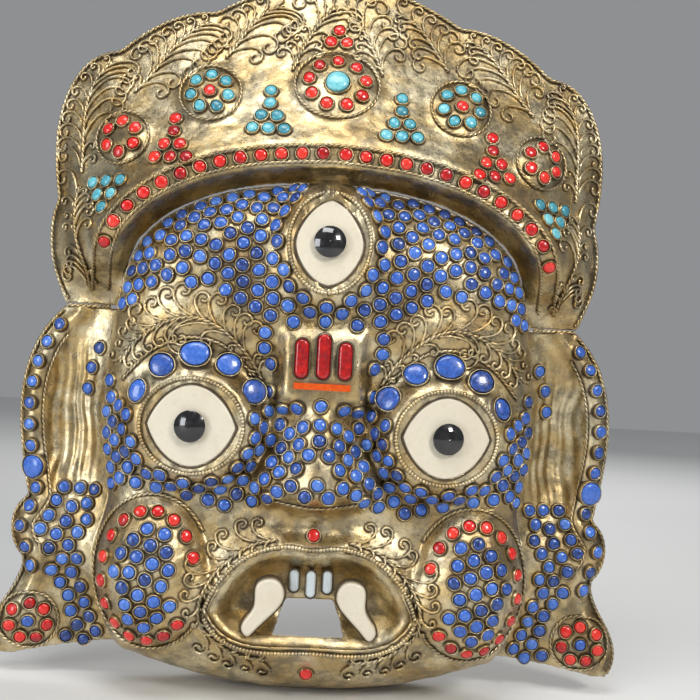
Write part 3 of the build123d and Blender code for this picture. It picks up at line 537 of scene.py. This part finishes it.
def curl_at(root, heading, hand, length, tone):
    """One curl laid on the sheet, from its root along a heading, or None where it runs off."""
    along = np.array([math.cos(heading), math.sin(heading)])
    across = np.array([-math.sin(heading), math.cos(heading)])
    shape = CURLS[hand] * length
    hits = [laid(*(root + along * u + across * v)) for u, v in shape]
    if any(hit is None for hit in hits):
        return None
    path = np.array([hit[0] for hit in hits])
    if np.abs(np.diff(path[:, 1])).max() > LARGEST_STEP:
        return None
    out = np.array([hit[1] for hit in hits])
    out = (out + np.roll(out, 1, 0) + np.roll(out, -1, 0)) / 3
    return flat_wire(path, out, CURL_WIDE, CURL_TALL, tone)


def room_for(root, heading, longest, taken):
    """How long a curl may be before it meets a stone or a border wire."""
    way = np.array([math.cos(heading), math.sin(heading)])
    length = SHORTEST_CURL
    while length < longest:
        ahead = root + way * length
        _, _, gap = taken.find((ahead[0], 0, ahead[1]))
        if gap < 0.7 * MM + 0.06 * length:
            break
        length += 0.5 * MM
    return length


def leaf_grids(spine, leaf, taken, rng):
    """A spine of twisted wire, and the curls that spring from both its sides."""
    score = np.abs(spine[:, 0]) * leaf.root[0] + spine[:, 2] * leaf.root[1]
    path = smoothed(spine if score[0] < score[-1] else spine[::-1], TWIST_PITCH / STEPS_PER_PITCH)
    grids = [rope_grid(path, outward(path), SPINE_RADIUS, "twisted")]
    run = run_along(path)
    for hand, spacing in zip((-1, 1), leaf.spacings):
        count = int(run[-1] / spacing)
        for i in range(count):
            share = (i + 0.4) / count
            mark = int(np.searchsorted(run, share * run[-1]))
            ahead = path[min(mark + 6, len(path) - 1)] - path[max(mark - 6, 0)]
            heading = math.atan2(ahead[2], ahead[0]) - hand * math.radians(CURL_LEAN + rng.uniform(-4, 4))
            root = path[mark][[0, 2]] + 0.5 * MM * np.array([math.cos(heading), math.sin(heading)])
            limit = leaf.longest * (0.62 + 0.38 * math.sin(math.pi * share))
            length, tone = room_for(root, heading, limit, taken), rng.uniform(0, 1)
            tries = [curl_at(root, heading, hand, length * part, tone) for part in CURL_TRIES]
            grids += [grid for grid in tries if grid is not None][:1]
    return grids


def points_tree(points):
    """A tree to find the nearest of some points."""
    tree = KDTree(len(points))
    for i, at in enumerate(points):
        tree.insert(at, i)
    tree.balance()
    return tree


def lay_filigree(stones, borders, materials):
    """The leaves of scrollwork. Returns points along every wire in them."""
    flat = [(seat.centre[0], 0, seat.centre[2]) for seat in stones]
    for seat in stones:
        for turn in range(0, 360, 30):
            way = seat.along * math.cos(math.radians(turn)) + seat.side * math.sin(math.radians(turn))
            at = seat.centre + way * seat.radii[0]
            flat.append((at[0], 0, at[2]))
    flat += [(x, 0, z) for x, _, z in borders]
    every = []
    for number, (node, leaf) in enumerate(LEAVES.items()):
        rng = np.random.default_rng(500 + number)
        grids = []
        for spine in centrelines(node, SPINE_BENDS):
            fresh = leaf_grids(spine, leaf, points_tree(flat), rng)
            wires = np.concatenate([grid.points[::2].mean(axis=1) for grid in fresh])
            flat += [(x, 0, z) for x, _, z in wires]
            every += wires.tolist()
            grids += fresh
        piece(f"{node}_curled", grids, materials["wire"], "gilt_brass", [node])
    return every


# ---------------------------------------------------------------- sheets
def remeshed(node):
    """An even mesh of a sheet, as a new object's mesh."""
    rough = bpy.data.objects.new("rough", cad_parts[node].data.copy())
    bpy.context.scene.collection.objects.link(rough)
    voxels = rough.modifiers.new("voxels", "REMESH")
    voxels.mode = "VOXEL"
    voxels.voxel_size = VOXEL
    depsgraph = bpy.context.evaluated_depsgraph_get()
    mesh = bpy.data.meshes.new_from_object(rough.evaluated_get(depsgraph))
    bpy.data.objects.remove(rough)
    return mesh


def hammering(at):
    """How far the worked surface stands off its true shape at a place, less towards its rim."""
    fade = max(0.0, min(1.0, -at.y / RIM_FADE, (at.z - cad_box[0].z) / RIM_FADE))
    depth = HAMMER_DEPTH * noise.noise(at / HAMMER_SIZE)
    depth += 0.4 * HAMMER_DEPTH * noise.noise(at / (0.4 * HAMMER_SIZE))
    u = (abs(at.x) - EAR_HOLLOW[0]) / EAR_HOLLOW_SIZE[0]
    v = (at.z - EAR_HOLLOW[1]) / EAR_HOLLOW_SIZE[1]
    bend = 3 * MM * noise.noise(at / (16 * MM))
    ripple = math.sin(2 * math.pi * (at.x + bend) / RIPPLE_STEP)
    return fade * (depth + RIPPLE_DEPTH * ripple * math.exp(-(u**4) - v**4))


def behind_eye(at):
    """Whether a place on a sheet lies close behind an eye white."""
    eye = laid(at.x, at.z, EYE_TREE)
    return eye is not None and at.y < eye[0][1] + EYE_THICK


def work_sheets(stones, wires, materials):
    """The sheets, hammered, with patina and painted shade gathered round the stones and wires."""
    stone_tree = points_tree([seat.centre for seat in stones])
    wire_tree = points_tree(wires)
    for node in SHEETS:
        mesh = remeshed(node)
        mesh.name = f"{node}_worked"
        places = [vertex.co.copy() for vertex in mesh.vertices]
        normals = [vertex.normal.copy() for vertex in mesh.vertices]
        crest, moved = [], []
        for at, normal in zip(places, normals):
            front = normal.y < FRONT_SLOPE
            # near the stones and wires the sheet is painted darker: patina that gathers there, and painted
            # shade where they stand up from it
            _, index, gap = stone_tree.find(at)
            stone = (gap - stones[index].radii[0] - STONE_SHADE_AND_PATINA[0]) / STONE_SHADE_AND_PATINA[1]
            _, _, gap = wire_tree.find(at)
            bare_lit_near = min(stone, (gap - WIRE_SHADE_AND_PATINA[0]) / WIRE_SHADE_AND_PATINA[1], 1.0)
            crest.append(max(bare_lit_near, 0.0) if front else BACK_BARE_LIT)
            sunk = front and behind_eye(at)
            moved.append(at + normal * (-EYE_SUNK if sunk else hammering(at)))
        mesh.vertices.foreach_set("co", np.array(moved).ravel())
        set_values(mesh, "crest", crest)
        set_values(mesh, "tone", np.full(len(crest), 0.5))
        mesh.shade_smooth()
        obj = bpy.data.objects.new(f"{node}_worked", mesh)
        bpy.context.scene.collection.objects.link(obj)
        place(obj, materials["sheet"], [node])


# ---------------------------------------------------------------- materials
class Finish:
    """A Principled material while it is put together."""

    def __init__(self, name, **values):
        self.material = bpy.data.materials.new(name)
        self.material.use_nodes = True
        self.nodes = self.material.node_tree.nodes
        self.links = self.material.node_tree.links
        self.surface = self.nodes["Principled BSDF"]
        self.place = self.nodes.new("ShaderNodeTexCoord").outputs["Object"]
        for socket, value in values.items():
            self.surface.inputs[socket.replace("_", " ")].default_value = value

    def put(self, socket, value):
        """Gives an input a value, or links a socket to it."""
        if isinstance(value, bpy.types.NodeSocket):
            self.links.new(value, socket)
        else:
            socket.default_value = value

    def noise(self, size, detail=4.0, roughness=0.55, distortion=0.0):
        """Noise from 0 to 1 with features of a size in metres."""
        node = self.nodes.new("ShaderNodeTexNoise")
        self.links.new(self.place, node.inputs["Vector"])
        node.inputs["Scale"].default_value = 1 / size
        node.inputs["Detail"].default_value = detail
        node.inputs["Roughness"].default_value = roughness
        node.inputs["Distortion"].default_value = distortion
        return node.outputs["Fac"]

    def cracks(self, size):
        """The distance to the edges of cells of a size."""
        node = self.nodes.new("ShaderNodeTexVoronoi")
        node.feature = "DISTANCE_TO_EDGE"
        self.links.new(self.place, node.inputs["Vector"])
        node.inputs["Scale"].default_value = 1 / size
        return node.outputs["Distance"]

    def value(self, name):
        """A value kept on the mesh."""
        node = self.nodes.new("ShaderNodeAttribute")
        node.attribute_name = name
        return node.outputs["Fac"]

    def math(self, operation, a, b):
        node = self.nodes.new("ShaderNodeMath")
        node.operation = operation
        self.put(node.inputs[0], a)
        self.put(node.inputs[1], b)
        return node.outputs[0]

    def scaled(self, value, low, high, to_low=0.0, to_high=1.0):
        node = self.nodes.new("ShaderNodeMapRange")
        node.interpolation_type = "SMOOTHSTEP"
        for name, number in zip(("From Min", "From Max", "To Min", "To Max"), (low, high, to_low, to_high)):
            node.inputs[name].default_value = number
        self.links.new(value, node.inputs["Value"])
        return node.outputs["Result"]

    def ramp(self, value, *stops):
        """A colour ramp of (place, colour) stops."""
        node = self.nodes.new("ShaderNodeValToRGB")
        elements = node.color_ramp.elements
        while len(elements) < len(stops):
            elements.new(0.5)
        for element, (at, colour) in zip(elements, stops):
            element.position = at
            element.color = (*colour, 1)
        self.links.new(value, node.inputs["Fac"])
        return node.outputs["Color"]

    def mix(self, factor, a, b):
        node = self.nodes.new("ShaderNodeMix")
        node.data_type = "RGBA"
        self.put(node.inputs["Factor"], factor)
        self.put(node.inputs[6], a if isinstance(a, bpy.types.NodeSocket) else (*a, 1))
        self.put(node.inputs[7], b if isinstance(b, bpy.types.NodeSocket) else (*b, 1))
        return node.outputs[2]

    def bump(self, height, depth):
        """Relief of a depth in metres."""
        node = self.nodes.new("ShaderNodeBump")
        node.inputs["Distance"].default_value = depth
        self.links.new(height, node.inputs["Height"])
        self.links.new(node.outputs["Normal"], self.surface.inputs["Normal"])

    def into(self, **sockets):
        for name, value in sockets.items():
            self.links.new(value, self.surface.inputs[name.replace("_", " ")])
        return self.material


PALE_GOLD, WARM_GOLD, DEEP_GOLD = (0.78, 0.67, 0.44), (0.62, 0.45, 0.20), (0.36, 0.24, 0.10)
# the brown is patina and painted shade in the recesses; the grey is patina alone
BROWN_PATINA_AND_SHADE, GREY_PATINA = (0.050, 0.030, 0.016), (0.24, 0.21, 0.15)


def gilt(name, bare_lit_range, shade_and_patina_depth):
    """Old gilding: warm and pale patches, grey dulling, and brown patina with painted shade in the recesses and
    under the wires.
    """
    f = Finish(name)
    patches = f.noise(16 * MM, 5, 0.6, 0.4)
    specks = f.noise(1.1 * MM, 5, 0.7)
    gold = f.ramp(patches, (0.32, DEEP_GOLD), (0.46, WARM_GOLD), (0.60, PALE_GOLD))
    gold = f.mix(f.scaled(f.value("tone"), 0.3, 1.0, 0.0, 0.45), gold, PALE_GOLD)
    dull = f.scaled(f.noise(7 * MM, 6, 0.7), 0.42, 0.64, 0.05, 0.75)
    gold = f.mix(dull, gold, GREY_PATINA)
    # where a mesh's value for bare, lit metal is low, the gold is mixed towards the dark brown, made less
    # metallic and rougher: patina, with painted shade in the recesses and under the wires
    bare_lit_mask = f.scaled(f.math("ADD", f.value("crest"), f.math("MULTIPLY", specks, 0.55)), *bare_lit_range)
    shade_and_patina = f.scaled(bare_lit_mask, 0.0, 1.0, shade_and_patina_depth, 0.0)
    colour = f.mix(shade_and_patina, gold, BROWN_PATINA_AND_SHADE)
    metallic = f.scaled(shade_and_patina, 0.2, 1.0, 1.0, 0.35)
    rough = f.math("ADD", f.scaled(specks, 0.3, 0.75, 0.24, 0.50), f.math("MULTIPLY", shade_and_patina, 0.3))
    f.bump(f.math("ADD", specks, f.math("MULTIPLY", f.noise(0.45 * MM, 3), 0.5)), 0.12 * MM)
    return f.into(Base_Color=colour, Metallic=metallic, Roughness=rough)


def stone_tone(f, size):
    """From 0 to 1: each stone's own tone, with clouds of a size within it."""
    clouds = f.scaled(f.noise(size, 5, 0.7), 0.3, 0.7, 0.0, 0.35)
    return f.math("ADD", f.math("MULTIPLY", f.value("tone"), 0.65), clouds)


def lapis():
    f = Finish("lapis", Coat_Weight=0.5, Coat_Roughness=0.06)
    blue = f.ramp(
        stone_tone(f, 1.3 * MM),
        (0.10, (0.010, 0.026, 0.12)),
        (0.30, (0.022, 0.075, 0.33)),
        (0.62, (0.042, 0.140, 0.56)),
        (0.95, (0.105, 0.245, 0.70)),
    )
    flecks = f.scaled(f.noise(0.55 * MM, 3, 0.6), 0.62, 0.74, 0.0, 0.4)
    rough = f.scaled(f.noise(1.5 * MM, 3), 0.3, 0.7, 0.16, 0.38)
    f.bump(f.noise(0.9 * MM, 3), 0.05 * MM)
    return f.into(Base_Color=f.mix(flecks, blue, (0.22, 0.34, 0.66)), Roughness=rough)


def coral(name, coat, dark, middle, light):
    f = Finish(name, Coat_Weight=coat, Coat_Roughness=0.05)
    red = f.ramp(stone_tone(f, 2.2 * MM), (0.08, dark), (0.45, middle), (0.92, light))
    spots = f.scaled(f.noise(0.8 * MM, 3, 0.6), 0.64, 0.75, 0.0, 0.35)
    rough = f.scaled(f.noise(1.8 * MM, 3), 0.3, 0.7, 0.14, 0.32)
    f.bump(f.noise(1.0 * MM, 3), 0.04 * MM)
    return f.into(Base_Color=f.mix(spots, red, dark), Roughness=rough)


def turquoise():
    f = Finish("turquoise", Coat_Weight=0.4, Coat_Roughness=0.10)
    tone = stone_tone(f, 2.0 * MM)
    blue = f.ramp(tone, (0.12, (0.03, 0.19, 0.26)), (0.5, (0.08, 0.42, 0.52)), (0.95, (0.24, 0.64, 0.70)))
    veins = f.scaled(f.cracks(2.6 * MM), 0.0, 0.05, 0.35, 0.0)
    f.bump(f.noise(1.2 * MM, 3), 0.04 * MM)
    rough = f.scaled(f.noise(1.5 * MM, 3), 0.3, 0.7, 0.22, 0.42)
    return f.into(Base_Color=f.mix(veins, blue, (0.05, 0.12, 0.12)), Roughness=rough)


def bone(name, light, stain):
    """Polished bone, with faint growth lines and stains."""
    f = Finish(name, Coat_Weight=0.25, Coat_Roughness=0.2)
    cream = f.mix(f.scaled(f.noise(14 * MM, 5, 0.6), 0.42, 0.75, 0.0, 0.4), light, stain)
    grain = f.scaled(f.noise(0.7 * MM, 4, 0.7), 0.58, 0.75, 0.0, 0.08)
    cream = f.mix(grain, cream, (0.42, 0.30, 0.17))
    f.bump(f.noise(1.6 * MM, 4), 0.05 * MM)
    return f.into(Base_Color=cream, Roughness=f.scaled(f.noise(3 * MM, 3), 0.3, 0.7, 0.24, 0.42))


def onyx():
    """Polished black stone with a trace of smears."""
    f = Finish("onyx", Coat_Weight=0.8, Coat_Roughness=0.03)
    black = f.ramp(f.noise(4 * MM, 4, 0.6), (0.4, (0.004, 0.004, 0.005)), (0.75, (0.022, 0.02, 0.02)))
    f.bump(f.noise(2.5 * MM, 2), 0.02 * MM)
    return f.into(Base_Color=black, Roughness=f.scaled(f.noise(2 * MM, 4), 0.35, 0.7, 0.06, 0.24))


def all_materials():
    return {
        "sheet": gilt("gilt_sheet", (0.30, 0.95), 0.88),
        "wire": gilt("gilt_wire", (0.35, 0.95), 0.92),
        "lapis": lapis(),
        "coral": coral("coral", 0.5, (0.26, 0.004, 0.006), (0.66, 0.008, 0.006), (0.80, 0.045, 0.025)),
        "orange": coral("orange_coral", 0.0, (0.62, 0.07, 0.004), (0.80, 0.12, 0.006), (0.86, 0.16, 0.01)),
        "turquoise": turquoise(),
        "bone": bone("bone", (0.69, 0.63, 0.50), (0.58, 0.50, 0.36)),
        "enamel": bone("enamel", (0.60, 0.67, 0.70), (0.50, 0.52, 0.50)),
        "onyx": onyx(),
    }


KEPT = {  # the CAD nodes that stay, and their materials
    "wire": [
        "left_eye_bezel", "right_eye_bezel", "brow_eye_bezel", "brow_bar_collets",
        "fang_bezels", "tooth_bezels", "loop_pads", "hanging_loop",
    ],
    "onyx": ["left_eye_pupil", "right_eye_pupil", "brow_eye_pupil"],
    "coral": ["brow_coral_bars"],
    "orange": ["brow_coral_plate"],
    "bone": ["left_fang", "right_fang", "left_eye_white", "right_eye_white", "brow_eye_white"],
    "enamel": ["front_teeth"],
}


def finish_kept_nodes(materials):
    for kind, nodes in KEPT.items():
        for name in nodes:
            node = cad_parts[name]
            for slot in node.material_slots:
                slot.link = "OBJECT"
                slot.material = materials[kind]
            if kind == "wire":
                edge = node.modifiers.new("soft_edges", "BEVEL")
                edge.width = 0.12 * MM
                edge.segments = 2
                edge.limit_method = "ANGLE"


# ---------------------------------------------------------------- studio
def floor():
    size, level = 1.6, cad_box[0].z
    mesh = bpy.data.meshes.new("floor")
    corners = [(-size, -size, level), (size, -size, level), (size, size, level), (-size, size, level)]
    mesh.from_pydata(corners, [], [(0, 1, 2, 3)])
    obj = bpy.data.objects.new("floor", mesh)
    bpy.context.scene.collection.objects.link(obj)
    f = Finish("pale_floor", Roughness=0.7)
    grey = f.ramp(f.noise(0.3, 2), (0.3, (0.70, 0.70, 0.69)), (0.7, (0.74, 0.74, 0.73)))
    mesh.materials.append(f.into(Base_Color=grey))


def area_light(name, at, size, power, warmth=(1, 1, 1)):
    """A soft box that faces the mask."""
    data = bpy.data.lights.new(name, "AREA")
    data.shape = "RECTANGLE"
    data.size, data.size_y = size
    data.energy = power
    data.color = warmth
    obj = bpy.data.objects.new(name, data)
    obj.location = at
    obj.rotation_euler = (Vector((0, -0.02, 0)) - Vector(at)).to_track_quat("-Z", "Y").to_euler()
    bpy.context.scene.collection.objects.link(obj)


def studio():
    world = bpy.data.worlds.new("studio")
    world.use_nodes = True
    world.node_tree.nodes["Background"].inputs["Color"].default_value = (0.80, 0.82, 0.85, 1)
    world.node_tree.nodes["Background"].inputs["Strength"].default_value = 0.34
    bpy.context.scene.world = world
    area_light("top_light", (-0.10, -0.40, 0.70), (0.45, 0.25), 2.8)
    area_light("key_light", (0.45, -0.70, 0.50), (0.22, 0.22), 4.4, (1.0, 0.97, 0.92))
    area_light("fill_light", (-0.65, -0.60, 0.15), (0.3, 0.4), 3.0, (0.93, 0.96, 1.0))
    area_light("back_light", (0.2, 0.8, 0.5), (0.6, 0.4), 3.0)


def camera():
    """The camera a little left of the face, level with it, and turned slightly."""
    back = Vector((math.sin(YAW) * math.cos(PITCH), -math.cos(YAW) * math.cos(PITCH), math.sin(PITCH)))
    right = (-back).cross(Vector((0, 0, 1))).normalized()
    up = right.cross(-back)
    across = right * math.cos(ROLL) + up * math.sin(ROLL)
    over = -right * math.sin(ROLL) + up * math.cos(ROLL)
    data = bpy.data.cameras.new("camera")
    data.lens, data.sensor_width = LENS, SENSOR
    data.clip_start = 0.01
    obj = bpy.data.objects.new("camera", data)
    obj.matrix_world = Matrix.Translation(CAMERA_AT) @ Matrix((across, over, back)).transposed().to_4x4()
    bpy.context.scene.collection.objects.link(obj)
    bpy.context.scene.camera = obj


# ---------------------------------------------------------------- the scene
camera()
studio()
floor()
bpy.context.scene.view_settings.view_transform = "Standard"
looks = all_materials()
stones = set_stones(looks)
borders = lay_ropes(looks)
curls = lay_filigree(stones, borders, looks)
work_sheets(stones, borders + curls, looks)
finish_kept_nodes(looks)
